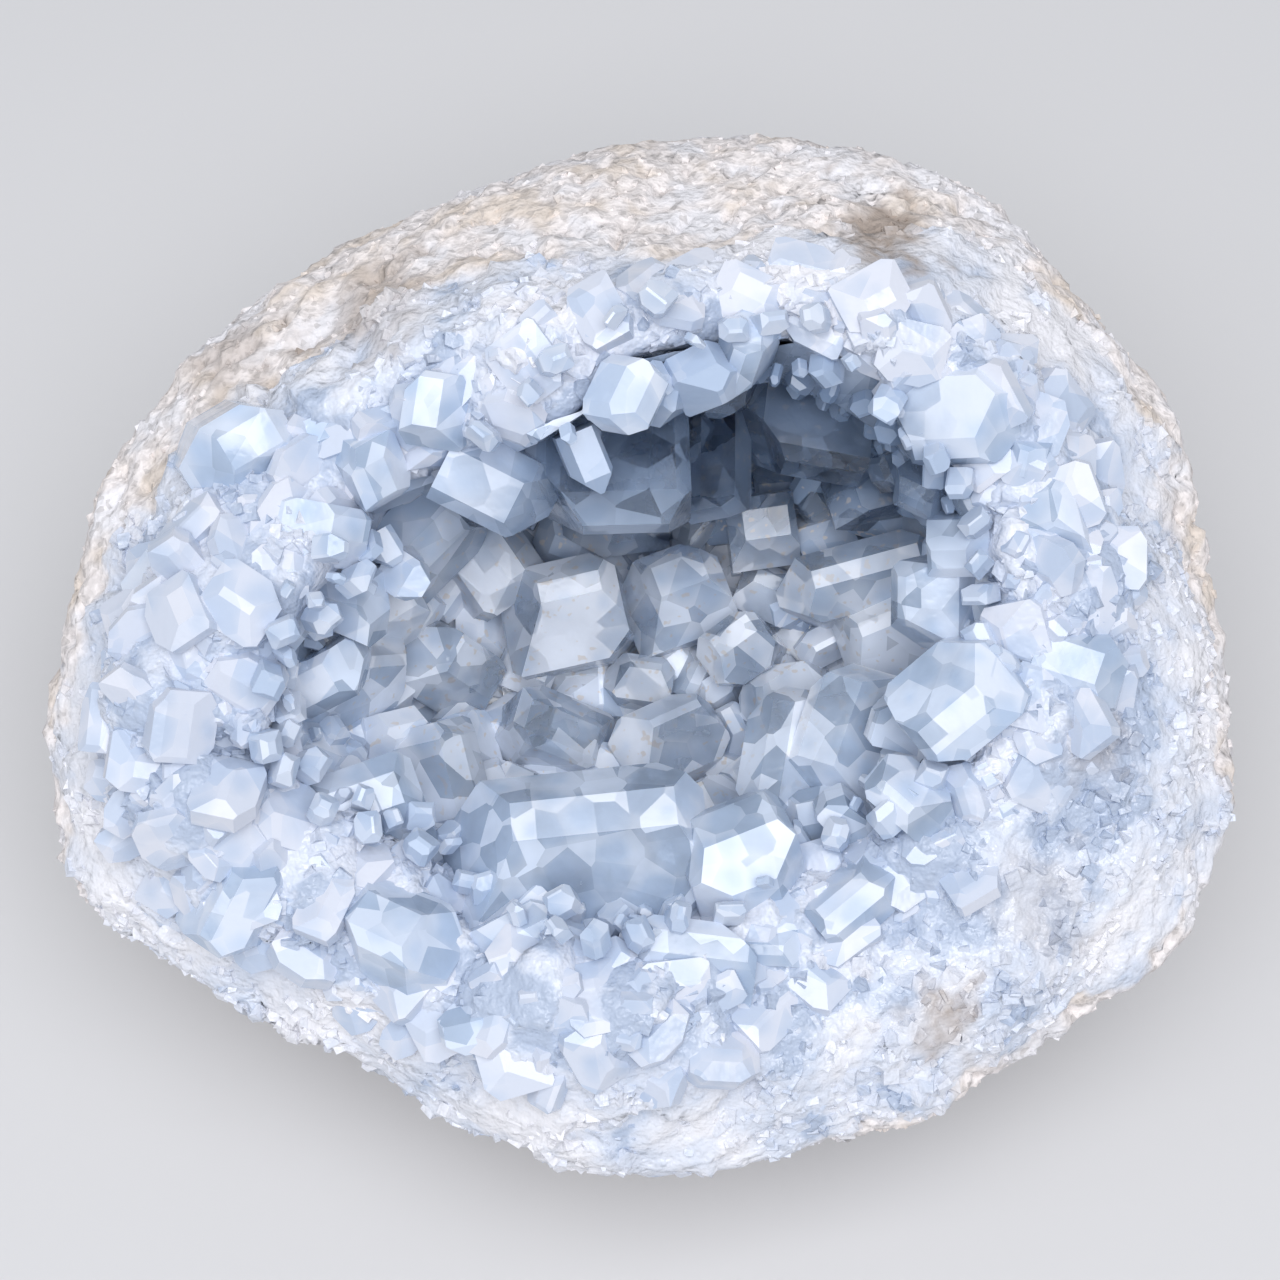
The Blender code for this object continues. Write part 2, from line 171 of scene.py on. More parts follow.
@dataclass(frozen=True)
class RimMap:
    """Says which part of the geode a place belongs to. Its lines run anticlockwise."""

    outline: tuple[float, ...] = (49.6, 49.3, 48.9, 46.4, 44.1, 43.5, 43.5, 47.8,
                                  49.8, 51.1, 45.0, 43.0, 44.9, 44.6, 48.5, 51.6)
    rind_height: tuple[float, ...] = (6, 7, 13, 10, 7, 6, 8, 10)
    rind_bends: tuple[float, float] = (5.0, 2.6)
    rind_fray: tuple[float, float] = (1.7, 1.1)
    underside: float = -16.0
    lip_share: tuple[float, ...] = (.60, .60, .58, .43, .61, .60, .57, .50)
    crust_edge: tuple[float, ...] = (.46, .575, .83, .67, .32, .30, .41, .70)
    mass_height: tuple[float, ...] = (3.9, 3.4, 1.6, 3.6, 6.3, 4.2, 3.6, 4.0)
    mass_foot: float = 0.4
    mass_run: float = 0.35
    stains: tuple[Stain, ...] = (
        Stain((20.0, 33.3), 4.8, 1.0),
        Stain((-22.0, 28.0), 6.5, 0.45),
        Stain((-35.0, 24.0), 5.0, 0.4),
        Stain((24.8, -30.8), 3.8, 0.7),
        Stain((36.8, -9.2), 4.2, 0.4),
        Stain((33.0, -22.0), 5.5, 0.3),
    )

    def share(self, places: np.ndarray) -> np.ndarray:
        """Distance from the middle of the face, as a share of the outline's radius."""
        angles = np.arctan2(places[:, 1], places[:, 0])
        return np.hypot(places[:, 0], places[:, 1]) / around(self.outline, angles)

    def inward(self, places: np.ndarray) -> np.ndarray:
        """0 on the outline, 1 at the lip of the hollow and more inside it."""
        angles = np.arctan2(places[:, 1], places[:, 0])
        lip = around(self.lip_share, angles)
        return (1 - self.share(places)) / (1 - lip)

    def rind(self, places: np.ndarray) -> np.ndarray:
        """1 on the rough outside, 0 on the broken rim and in the hollow."""
        angles = np.arctan2(places[:, 1], places[:, 0])
        (bend, bend_height), (fray, fray_height) = self.rind_bends, self.rind_fray
        edge = around(self.rind_height, angles)
        edge += bend_height * waves(places, bend, Draw.RIND_EDGE)
        frayed = fray_height * waves(places, fray, Draw.RIND_FRAY)
        below = fade(edge - places[:, 2] + frayed, -0.7, 0.7)
        hidden = places[:, 2] < self.underside
        return below * np.maximum(fade(self.inward(places), 0.95, 0.75), hidden)

    def hollow(self, places: np.ndarray) -> np.ndarray:
        """1 in the depth of the hollow, 0 on the rim and outside."""
        deep = fade(self.inward(places), 0.9, 1.45)
        return deep * fade(places[:, 2], 12.0, 0.0)

    def mass(self, places: np.ndarray) -> np.ndarray:
        """How high the massive stone stands round the feet of the rim's crystals."""
        angles = np.arctan2(places[:, 1], places[:, 0])
        inward, edge = self.inward(places), around(self.crust_edge, angles)
        rise = np.clip((inward - edge) / self.mass_run, 0, 1)
        height = self.mass_foot + around(self.mass_height, angles) * rise
        height *= fade(inward - edge, -0.12, 0.05) * fade(inward, 1.04, 0.84)
        return height * (places[:, 2] > 0)

    def tone(self, places: np.ndarray) -> np.ndarray:
        """0 where the broken stone is white, 1 where it is clear and blue."""
        blue = waves(places, 9.0, Draw.TONE) + 0.7 * waves(places, 3.5, Draw.FINE_TONE)
        inner = fade(self.inward(places), 0.1, 0.55)
        hood = fade(places[:, 1], 17, 27)
        spots = fade(waves(places, 3.0, Draw.SPOTS), 0.2, 0.42)
        return 0.3 + 0.55 * inner + 0.7 * blue + 0.35 * spots - 0.5 * hood

    def stain(self, places: np.ndarray) -> np.ndarray:
        """How stained the stone is at each place, from 0 to 1."""
        total = np.zeros(len(places))
        wobble = 1 + 0.9 * waves(places, 2.2, Draw.STAIN)
        for spot in self.stains:
            away = np.hypot(*(places[:, :2] - np.array(spot.place)).T)
            total += spot.strength * fade(away * wobble, spot.radius, spot.radius * 0.3)
        return np.clip(total * (places[:, 2] > 0), 0, 1)


RIM = RimMap()


class Zone(Enum):
    """Where grains are sown."""

    RIND = "rind"
    RIM = "rim"


def copy_of_node(node: str) -> bmesh.types.BMesh:
    """A merged copy of a CAD node's loose triangles."""
    mesh = bmesh.new()
    mesh.from_mesh(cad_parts[node].data)
    bmesh.ops.remove_doubles(mesh, verts=mesh.verts, dist=0.001 * MM)
    return mesh


def add_piece(name: str, data: bpy.types.Mesh, finish: bpy.types.Material) -> bpy.types.Object:
    """Adds a mesh to the scene as a piece of the geode.

    Args:
        name: The piece's name.
        data: Its mesh, placed in the world.
        finish: Its material.

    Returns:
        The new object, which rides on the geode.
    """
    data.materials.clear()
    data.materials.append(finish)
    piece = bpy.data.objects.new(name, data)
    bpy.context.scene.collection.objects.link(piece)
    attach(piece, "root")
    log.info("%s: %d faces", name, len(data.polygons))
    return piece


def paint(data: bpy.types.Mesh, domain: str = "POINT", **layers: np.ndarray) -> None:
    """Writes numbers on to a mesh's points or faces, for its material to read by name."""
    for name, values in layers.items():
        layer = data.attributes.new(name, "FLOAT", domain)
        layer.data.foreach_set("value", np.asarray(values, dtype=np.float32))


class Socket:
    """A value on its way between nodes. A sum on it adds the Math node that works it out."""

    def __init__(self, recipe: "Recipe", source: bpy.types.NodeSocket) -> None:
        """Wraps a node's output."""
        self.recipe = recipe
        self.source = source

    def math(self, operation: str, *values: "Socket | float", clamp: bool = False) -> "Socket":
        """Adds a Math node.

        Args:
            operation: What it does.
            *values: What it works on.
            clamp: Whether its result stays between 0 and 1.

        Returns:
            Its result.
        """
        settings = {"operation": operation, "use_clamp": clamp}
        return self.recipe.node("ShaderNodeMath", settings, dict(enumerate(values)))

    def __add__(self, other: "Socket | float") -> "Socket":
        """This value plus another."""
        return self.math("ADD", self, other)

    def __radd__(self, other: float) -> "Socket":
        """A number plus this value."""
        return self.math("ADD", other, self)

    def __sub__(self, other: "Socket | float") -> "Socket":
        """This value less another."""
        return self.math("SUBTRACT", self, other)

    def __rsub__(self, other: float) -> "Socket":
        """A number less this value."""
        return self.math("SUBTRACT", other, self)

    def __mul__(self, other: "Socket | float") -> "Socket":
        """This value times another."""
        return self.math("MULTIPLY", self, other)

    def __rmul__(self, other: float) -> "Socket":
        """A number times this value."""
        return self.math("MULTIPLY", other, self)

    def clamped(self) -> "Socket":
        """This value kept between 0 and 1."""
        return self.math("ADD", self, 0.0, clamp=True)

    def between(self, low: float, high: float) -> "Socket":
        """Runs smoothly from 0 at low to 1 at high."""
        return self.recipe.node(
            "ShaderNodeMapRange", {"interpolation_type": "SMOOTHSTEP"},
            {"Value": self, "From Min": low, "From Max": high})

    def run(self, low: float, high: float) -> "Socket":
        """Turns 0 to 1 into low to high."""
        return self * (high - low) + low


class Recipe:
    """The nodes of one material, read in the object's own coordinates."""

    def __init__(self, name: str) -> None:
        """Starts an empty material."""
        self.material = bpy.data.materials.new(name)
        self.material.use_nodes = True
        self.tree = self.material.node_tree
        self.tree.nodes.clear()
        self.place = self.node("ShaderNodeTexCoord", output="Object")

    def node(self, kind: str, settings: dict | None = None, sockets: dict | None = None,
             output: int | str = 0) -> Socket:
        """Adds one node.

        Args:
            kind: The node's type.
            settings: Its own settings, which are set first.
            sockets: A value or a link for each of its inputs, by name or number.
            output: Which of its outputs to return.

        Returns:
            That output.
        """
        made = self.tree.nodes.new(kind)
        for name, value in (settings or {}).items():
            setattr(made, name, value)
        for key, value in (sockets or {}).items():
            if isinstance(value, Socket):
                self.tree.links.new(value.source, made.inputs[key])
            else:
                made.inputs[key].default_value = value
        return Socket(self, made.outputs[output])

    def noise(self, size: float, detail: float = 2.0, draw: float = 0.0) -> Socket:
        """Smooth noise from 0 to 1 with lumps of a size in millimetres."""
        away = (draw, -draw, draw)
        moved = self.node("ShaderNodeMapping", {}, {"Vector": self.place, "Location": away})
        sockets = {"Vector": moved, "Scale": 1 / (size * MM), "Detail": detail}
        return self.node("ShaderNodeTexNoise", {}, sockets)

    def cells(self, size: float) -> tuple[Socket, Socket]:
        """Grains of a size in millimetres: the way to their middle, and each one's draw."""
        sockets = {"Vector": self.place, "Scale": 1 / (size * MM)}
        away = self.node("ShaderNodeTexVoronoi", {}, sockets, "Distance")
        colour = Socket(self, away.source.node.outputs["Color"])
        return away, self.node("ShaderNodeSeparateColor", {}, {"Color": colour})

    def painted(self, name: str) -> Socket:
        """A number that was painted on the mesh."""
        return self.node("ShaderNodeAttribute", {"attribute_name": name}, output="Fac")

    def mix(self, factor: Socket | float, first: Socket | Colour,
            second: Socket | Colour) -> Socket:
        """Mixes two colours."""
        first, second = (item if isinstance(item, Socket) else (*item, 1.0)
                         for item in (first, second))
        return self.node("ShaderNodeMix", {"data_type": "RGBA"},
                         {0: factor, 6: first, 7: second}, output=2)

    def bump(self, height: Socket, depth: float, strength: float = 1.0) -> Socket:
        """Surface normal over a height that runs from 0 to 1 over a depth in millimetres."""
        sockets = {"Height": height, "Distance": depth * MM, "Strength": strength}
        return self.node("ShaderNodeBump", {}, sockets, output="Normal")

    def shader(self, **sockets: "Socket | float | tuple") -> Socket:
        """A Principled shader, whose inputs are named with _ for each space."""
        named = {key.replace("_", " "): value for key, value in sockets.items()}
        return self.node("ShaderNodeBsdfPrincipled", {}, named)

    def finish(self, surface: Socket, volume: Socket | None = None) -> bpy.types.Material:
        """Gives the material its surface, and its volume if it has one.

        Args:
            surface: The surface shader.
            volume: The volume shader.

        Returns:
            The finished material.
        """
        sockets = {"Surface": surface}
        if volume:
            sockets["Volume"] = volume
        made = self.tree.nodes.new("ShaderNodeOutputMaterial")
        for key, value in sockets.items():
            self.tree.links.new(value.source, made.inputs[key])
        return self.material


@dataclass(frozen=True)
class StoneFinish:
    """Massive sugary celestite on the rim, and a beige and grey rind outside."""

    white: Colour = (0.78, 0.78, 0.82)
    pale_blue: Colour = (0.53, 0.60, 0.73)
    grey_blue: Colour = (0.36, 0.43, 0.56)
    rind_grey: Colour = (0.66, 0.62, 0.61)
    rind_white: Colour = (0.86, 0.81, 0.80)
    rind_tan: Colour = (0.68, 0.58, 0.48)
    rind_dark: Colour = (0.33, 0.31, 0.30)
    brown: Colour = (0.38, 0.32, 0.28)
    # Darker blue for the stone deep in the hollow: partly its bluer lining, partly painted shade.
    hollow_shade_blue: Colour = (0.46, 0.59, 0.82)
    lump_size: float = 1.0
    grain_size: float = 0.6
    patch_size: float = 6.0
    relief_depth: float = 0.5
    ior: float = 1.6

    def make(self) -> bpy.types.Material:
        """Builds the material."""
        recipe = Recipe("geode_stone_fine")
        fine = recipe.noise(self.lump_size, 2, 5)
        _, draw = recipe.cells(self.grain_size)
        relief = recipe.bump(fine, self.relief_depth, 0.9)
        surface = recipe.node(
            "ShaderNodeMixShader", {},
            {0: recipe.painted("rind"), 1: self.broken_stone(recipe, fine, draw, relief),
             2: self.rough_rind(recipe, fine, draw, relief)})
        return recipe.finish(surface)

    def broken_stone(self, recipe: Recipe, fine: Socket, draw: Socket,
                     relief: Socket) -> Socket:
        """The rim: white and clearer pale blue by turns, with small glints."""
        tone = (recipe.painted("tone") + (fine - 0.5) * 0.4 + (draw - 0.5) * 0.1).clamped()
        colour = recipe.mix(tone, self.white, self.pale_blue)
        colour = recipe.mix(tone.between(0.75, 1.0) * 0.7, colour, self.grey_blue)
        # Partly painted shade: the stone deep in the hollow is mixed to a darker blue, partly its
        # bluer lining and partly the recess's shade.
        colour = recipe.mix(recipe.painted("hollow"), colour, self.hollow_shade_blue)
        stain = (recipe.painted("stain") * fine.run(0.3, 1.5)).clamped()
        colour = recipe.mix(stain, colour, self.brown)
        return recipe.shader(
            Base_Color=colour, Roughness=draw.run(0.2, 0.65), IOR=self.ior, Normal=relief)

    def rough_rind(self, recipe: Recipe, fine: Socket, draw: Socket, relief: Socket) -> Socket:
        """The outside: grey, white and tan patches under dark specks."""
        patch = recipe.noise(self.patch_size, 3, 13)
        colour = recipe.mix(fine.between(0.36, 0.6), self.rind_grey, self.rind_white)
        colour = recipe.mix(patch.between(0.5, 0.66) * 0.6, colour, self.rind_tan)
        colour = recipe.mix(patch.between(0.5, 0.36) * 0.8, colour, self.white)
        colour = recipe.mix(draw.between(0.8, 0.95) * 0.4, colour, self.rind_dark)
        colour = recipe.mix((recipe.painted("stain") * 1.2).clamped(), colour, self.brown)
        return recipe.shader(Base_Color=colour, Roughness=0.9, Normal=relief)


@dataclass(frozen=True)
class CrystalFinish:
    """Pale blue crystal: clear parts that absorb red, and milky parts that scatter."""

    name: str
    see_through: bool = True
    clear: Colour = (0.96, 0.98, 1.0)
    milky_blue: Colour = (0.55, 0.68, 0.88)
    milky_white: Colour = (0.80, 0.85, 0.94)
    shaded_blue: Colour = (0.18, 0.26, 0.40)
    dust: Colour = (0.68, 0.62, 0.56)
    absorbed: Colour = (0.50, 0.68, 0.94)
    absorption_density: float = 22.0
    ior: float = 1.62
    veil_size: float = 4.5
    block_size: float = 2.8
    streak_size: float = 0.8
    relief_depth: float = 0.12

    def make(self) -> bpy.types.Material:
        """Builds the material."""
        recipe = Recipe(self.name)
        milk, dust, shade, facet, edge = (
            recipe.painted(item) for item in ("milk", "dust", "shade", "facet", "edge"))
        veil, streak = recipe.noise(self.veil_size, 2, 2), recipe.noise(self.streak_size, 1, 6)
        way, block = recipe.cells(self.block_size)
        frost = facet.between(0.66, 0.74)
        broken = veil * 0.5 + block * 0.3 + way * 0.3
        # Bevelled edges are painted whiter: partly chipped white edges, partly a painted glow of
        # light along them.
        white = (milk - 0.95) * 0.9 + broken.between(0.42, 0.66) * 0.7 + edge * 0.5
        # The dust term whitens crystals deep in the hollow: partly a dust coat, partly a painted
        # lift of light on the hollow's floor.
        white = white + frost * 0.35 + dust * 0.4
        body = recipe.mix(white.clamped(), self.milky_blue, self.milky_white)
        # Painted shade: crystals under the hood are mixed towards a dark blue, and those on the
        # rim a little; bevelled edges take less of it.
        body = recipe.mix(shade * (0.95 - edge * 0.4), body, self.shaded_blue)
        body = recipe.mix(dust * streak.between(0.64, 0.7) * 0.7, body, self.dust)
        relief = recipe.bump(streak, self.relief_depth, 0.3)
        roughness = frost * 0.25 + streak * 0.12 + 0.01
        milky_shader = recipe.shader(
            Base_Color=body, Roughness=roughness + 0.1, IOR=self.ior, Normal=relief)
        if not self.see_through:
            return recipe.finish(milky_shader)

        milkiness = milk + (veil - 0.5) * 0.5 + (block - 0.5) * 0.4 + (facet - 0.5) * 0.3
        milkiness = (milkiness + edge * 0.4).clamped()
        clear_shader = recipe.shader(
            Base_Color=(*self.clear, 1), Roughness=roughness, IOR=self.ior,
            Transmission_Weight=1.0, Normal=relief)
        surface = recipe.node("ShaderNodeMixShader", {},
                              {0: milkiness, 1: clear_shader, 2: milky_shader})
        volume = recipe.node("ShaderNodeVolumeAbsorption", {},
                             {"Color": (*self.absorbed, 1), "Density": self.absorption_density})
        return recipe.finish(surface, volume)


def slice_off(mesh: bmesh.types.BMesh, point: Vector, normal: Vector) -> None:
    """Cuts away what lies beyond a plane and closes the cut with one flat face."""
    everything = mesh.verts[:] + mesh.edges[:] + mesh.faces[:]
    cut = bmesh.ops.bisect_plane(mesh, geom=everything, plane_co=point, plane_no=normal,
                                 clear_outer=True)
    edges = [item for item in cut["geom_cut"] if isinstance(item, bmesh.types.BMEdge)]
    if edges:
        bmesh.ops.contextual_create(mesh, geom=edges)


def as_shape(mesh: bmesh.types.BMesh) -> Shape:
    """The points, triangles and flat sides of a small mesh, which is then freed."""
    side = mesh.faces.layers.int.new("side")
    for number, face in enumerate(mesh.faces):
        face[side] = number
    bmesh.ops.triangulate(mesh, faces=mesh.faces)
    mesh.normal_update()
    bmesh.ops.recalc_face_normals(mesh, faces=mesh.faces)
    mesh.verts.index_update()
    points = np.array([vert.co[:] for vert in mesh.verts])
    faces = np.array([[vert.index for vert in face.verts] for face in mesh.faces])
    sides = np.array([face[side] for face in mesh.faces])
    mesh.free()
    return points, faces, sides


@dataclass(frozen=True)
class Chunk:
    """An angular grain about 1 wide: a block with a few corners broken off."""

    sides: tuple[float, float] = (0.7, 1.15)
    breaks: int = 2
    break_places: tuple[float, float] = (0.25, 0.45)

    def make(self, chance: np.random.Generator) -> Shape:
        """One grain, drawn at random."""
        mesh = bmesh.new()
        bmesh.ops.create_cube(mesh, size=1)
        bmesh.ops.scale(mesh, vec=Vector(chance.uniform(*self.sides, 3)), verts=mesh.verts)
        for _ in range(self.breaks):
            normal = Vector(chance.normal(size=3)).normalized()
            slice_off(mesh, normal * chance.uniform(*self.break_places), normal)
        return as_shape(mesh)


@dataclass(frozen=True)
class Blade:
    """A blunt crystal 1 wide and 1 long on the origin along Z, ending in a chisel."""

    chisel: float = math.radians(38)
    chisel_places: tuple[float, float] = (-0.1, 0.36)
    shoulder: float = math.radians(50)
    shoulder_places: tuple[float, float] = (0.12, 0.42)
    prism: float = math.radians(52)
    prism_shares: tuple[float, float] = (0.7, 0.95)

    def make(self, chance: np.random.Generator) -> Shape:
        """One crystal, drawn at random."""
        mesh = bmesh.new()
        bmesh.ops.create_cube(mesh, size=1)
        bmesh.ops.translate(mesh, vec=(0, 0, 0.5), verts=mesh.verts)
        for side in (-1, 1):
            normal = Vector((0, side * math.sin(self.chisel), math.cos(self.chisel)))
            slice_off(mesh, Vector((0, side * chance.uniform(*self.chisel_places), 1)), normal)
            normal = Vector((side * math.sin(self.shoulder), 0, math.cos(self.shoulder)))
            slice_off(mesh, Vector((side * chance.uniform(*self.shoulder_places), 0, 1)), normal)
            for other in (-1, 1):
                normal = Vector((side * math.cos(self.prism), other * math.sin(self.prism), 0))
                reach = 0.5 * (abs(normal.x) + abs(normal.y)) * chance.uniform(*self.prism_shares)
                slice_off(mesh, normal * reach, normal)
        return as_shape(mesh)


def turns(count: int, chance: np.random.Generator) -> np.ndarray:
    """Random turns, as one 3 by 3 matrix for each of so many grains."""
    quaternions = chance.normal(size=(count, 4))
    w, x, y, z = (quaternions / np.linalg.norm(quaternions, axis=1)[:, None]).T
    rows = ((1 - 2 * (y * y + z * z), 2 * (x * y - w * z), 2 * (x * z + w * y)),
            (2 * (x * y + w * z), 1 - 2 * (x * x + z * z), 2 * (y * z - w * x)),
            (2 * (x * z - w * y), 2 * (y * z + w * x), 1 - 2 * (x * x + y * y)))
    return np.moveaxis(np.array(rows), 2, 0)


def growth_frames(growth: np.ndarray, chance: np.random.Generator) -> np.ndarray:
    """Frames whose Z runs along growth directions, each turned at random about it."""
    z = growth / np.linalg.norm(growth, axis=1)[:, None]
    aside = chance.normal(size=z.shape)
    x = np.cross(aside, z)
    x /= np.linalg.norm(x, axis=1)[:, None]
    return np.stack((x, np.cross(z, x), z), axis=2)


def sown_mesh(name: str, shapes: list[Shape], frames: np.ndarray, bases: np.ndarray,
              chance: np.random.Generator, **layers: np.ndarray) -> bpy.types.Mesh:
    """Joins many copies of a few shapes in one mesh.

    Args:
        name: The mesh's name.
        shapes: The shapes to draw from.
        frames: A 3 by 3 matrix for each copy, with its size in it, in millimetres.
        bases: The place of each copy's origin.
        chance: Where the draws come from.
        **layers: A number for each copy, which is painted on all its points.

    Returns:
        The joined mesh, in world coordinates.
    """
    picks = chance.integers(len(shapes), size=len(bases))
    points, faces, facets, values, start = [], [], [], {key: [] for key in layers}, 0
    for pick, (shape_points, shape_faces, sides) in enumerate(shapes):
        chosen = np.flatnonzero(picks == pick)
        placed = np.einsum("kij,nj->kni", frames[chosen], shape_points)
        placed += bases[chosen][:, None]
        points.append(placed.reshape(-1, 3))
        steps = start + np.arange(len(chosen)) * len(shape_points)
        faces.append((shape_faces[None] + steps[:, None, None]).reshape(-1, 3))
        start += placed.shape[0] * placed.shape[1]
        facets.append(chance.random((len(chosen), sides.max() + 1))[:, sides].ravel())
        for key, numbers in layers.items():
            values[key].append(np.repeat(numbers[chosen], len(shape_points)))
    data = bpy.data.meshes.new(name)
    world = FACE.to_world(np.concatenate(points))
    data.from_pydata(world.tolist(), [], np.concatenate(faces).tolist())
    paint(data, **{key: np.concatenate(parts) for key, parts in values.items()})
    paint(data, "FACE", facet=np.concatenate(facets), edge=np.zeros(len(data.polygons)))
    return data


def thin_out(places: np.ndarray, radii: np.ndarray) -> np.ndarray:
    """Numbers of the places that are left when none may crowd an earlier one."""
    cell = 2 * float(radii.max())
    taken: dict[tuple[int, int, int], list[int]] = {}
    kept = []
    keys = np.floor(places / cell).astype(int).tolist()
    steps = [(i, j, k) for i in (-1, 0, 1) for j in (-1, 0, 1) for k in (-1, 0, 1)]
    rows, sizes = places.tolist(), radii.tolist()
    for index, (key, place) in enumerate(zip(keys, rows)):
        near = (other for step in steps
                for other in taken.get((key[0] + step[0], key[1] + step[1], key[2] + step[2]), ()))
        if all(math.dist(place, rows[other]) > sizes[index] + sizes[other] for other in near):
            kept.append(index)
            taken.setdefault(tuple(key), []).append(index)
    return np.array(kept)


def milkiness(places: np.ndarray) -> np.ndarray:
    """How milky the crystal is: most on the rim and the left, least under the hood."""
    inward = RIM.inward(places)
    outer = fade(inward, 1.9, 0.7)
    left = fade(places[:, 0], -10, -30) * 0.06
    hood = fade(places[:, 1], 15, 25) * (inward < 1.1) * 0.3
    return 0.58 + 0.34 * outer + left + hood - 0.36 * under_hood(places)


def hood_shade_and_rim_blue(places: np.ndarray) -> np.ndarray:
    """Painted shade for the crystals: most under the hood, which shades them, and a little darker
    blue on the rim.
    """
    return np.clip(under_hood(places) + 0.28 * fade(RIM.inward(places), 1.5, 0.9), 0, 1)


def under_hood(places: np.ndarray) -> np.ndarray:
    """1 for the crystals that hang in the hood's shade, where shade is painted on them, 0
    elsewhere.
    """
    from_lip = fade(RIM.inward(places), 0.95, 1.25)
    return from_lip * fade(places[:, 1], 5, 13) * fade(places[:, 2], 20, 14)


@dataclass
class StoneShell:
    """The stone nodule with its rough rind, its broken sugary rim and the hollow's wall."""

    splits: int = 3
    smoothed_splits: int = 2
    foot: float = 0.3
    large_chip: tuple[float, float] = (5.2, 0.18)
    small_chip: tuple[float, float] = (2.4, 0.20)
    rind_waves: tuple[tuple[float, float], ...] = ((7.0, 0.7), (2.4, 0.55), (1.1, 0.4))
    rind_pits: tuple[float, float] = (1.9, 0.9)
    mass_waves: tuple[float, float] = (4.5, 0.35)
    points: np.ndarray = field(init=False)
    normals: np.ndarray = field(init=False)
    faces: np.ndarray = field(init=False)

    def build(self, finish: bpy.types.Material) -> bpy.types.Object:
        """Splits, smooths and roughens a copy of the CAD shell.

        Args:
            finish: The stone's material.

        Returns:
            The piece, which stands for the CAD shell.
        """
        mesh = copy_of_node(SHELL_NODE)
        for level in range(self.splits):
            bmesh.ops.subdivide_edges(mesh, edges=mesh.edges, cuts=1, use_grid_fill=True)
            if level < self.smoothed_splits:
                loose = [vert for vert in mesh.verts if vert.co.z > self.foot * MM]
                bmesh.ops.smooth_vert(mesh, verts=loose, factor=0.5, use_axis_x=True,
                                      use_axis_y=True, use_axis_z=True)
        mesh.normal_update()
        self.roughen(mesh)
        data = bpy.data.meshes.new("stone_shell")
        bmesh.ops.triangulate(mesh, faces=mesh.faces)
        mesh.to_mesh(data)
        mesh.free()
        data.shade_smooth()
        # hollow marks the stone deep in the hollow, which its material paints a darker blue,
        # partly painted shade.
        paint(data, rind=RIM.rind(self.points), stain=RIM.stain(self.points),
              hollow=RIM.hollow(self.points), tone=RIM.tone(self.points))
        self.faces = np.array([polygon.vertices[:] for polygon in data.polygons])
        piece = add_piece("stone_shell", data, finish)
        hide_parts(SHELL_NODE)
        return piece

    def roughen(self, mesh: bmesh.types.BMesh) -> None:
        """Moves the points of the rim and the rind, and keeps the places for sowing."""
        world = np.array([vert.co[:] for vert in mesh.verts])
        normals = np.array([vert.normal[:] for vert in mesh.verts]) @ FACE.axes.T
        places = FACE.from_world(world)
        rind, hollow = RIM.rind(places), fade(RIM.inward(places), 0.85, 1.1)
        broken = chips(places, *self.large_chip) + chips(places, *self.small_chip)
        rough = sum(waves(places, size, draw) * height
                    for draw, (size, height) in enumerate(self.rind_waves, Draw.RIND_LUMPS))
        size, depth = self.rind_pits
        pits = fade(waves(places, size, Draw.RIND_PITS), 0.22, 0.5) * depth
        lift = broken * (1 - rind) + (rough - pits) * rind
        lift *= (1 - hollow) * fade(world[:, 2], 0, 2 * MM)
        size, share = self.mass_waves
        lift += RIM.mass(places) * (1 + share * waves(places, size, Draw.MASS))
        self.points = places + normals * lift[:, None]
        self.normals = normals
        moved = FACE.to_world(self.points)
        moved[:, 2] = np.maximum(moved[:, 2], 0)
        for vert, point in zip(mesh.verts, moved.tolist()):
            vert.co = point

    def sow(self, tries: int, chance: np.random.Generator) -> tuple[np.ndarray, np.ndarray]:
        """Random places on the stone, evenly over its surface.

        Args:
            tries: How many places to draw.
            chance: Where the draws come from.

        Returns:
            The places, and the stone's outward direction at each.
        """
        corners = self.points[self.faces]
        cross = np.cross(corners[:, 1] - corners[:, 0], corners[:, 2] - corners[:, 0])
        area = np.linalg.norm(cross, axis=1)
        picked = chance.choice(len(area), size=tries, p=area / area.sum())
        shares = chance.dirichlet((1, 1, 1), size=tries)
        places = (corners[picked] * shares[:, :, None]).sum(axis=1)
        normals = (self.normals[self.faces[picked]] * shares[:, :, None]).sum(axis=1)
        return places, normals / np.linalg.norm(normals, axis=1)[:, None]


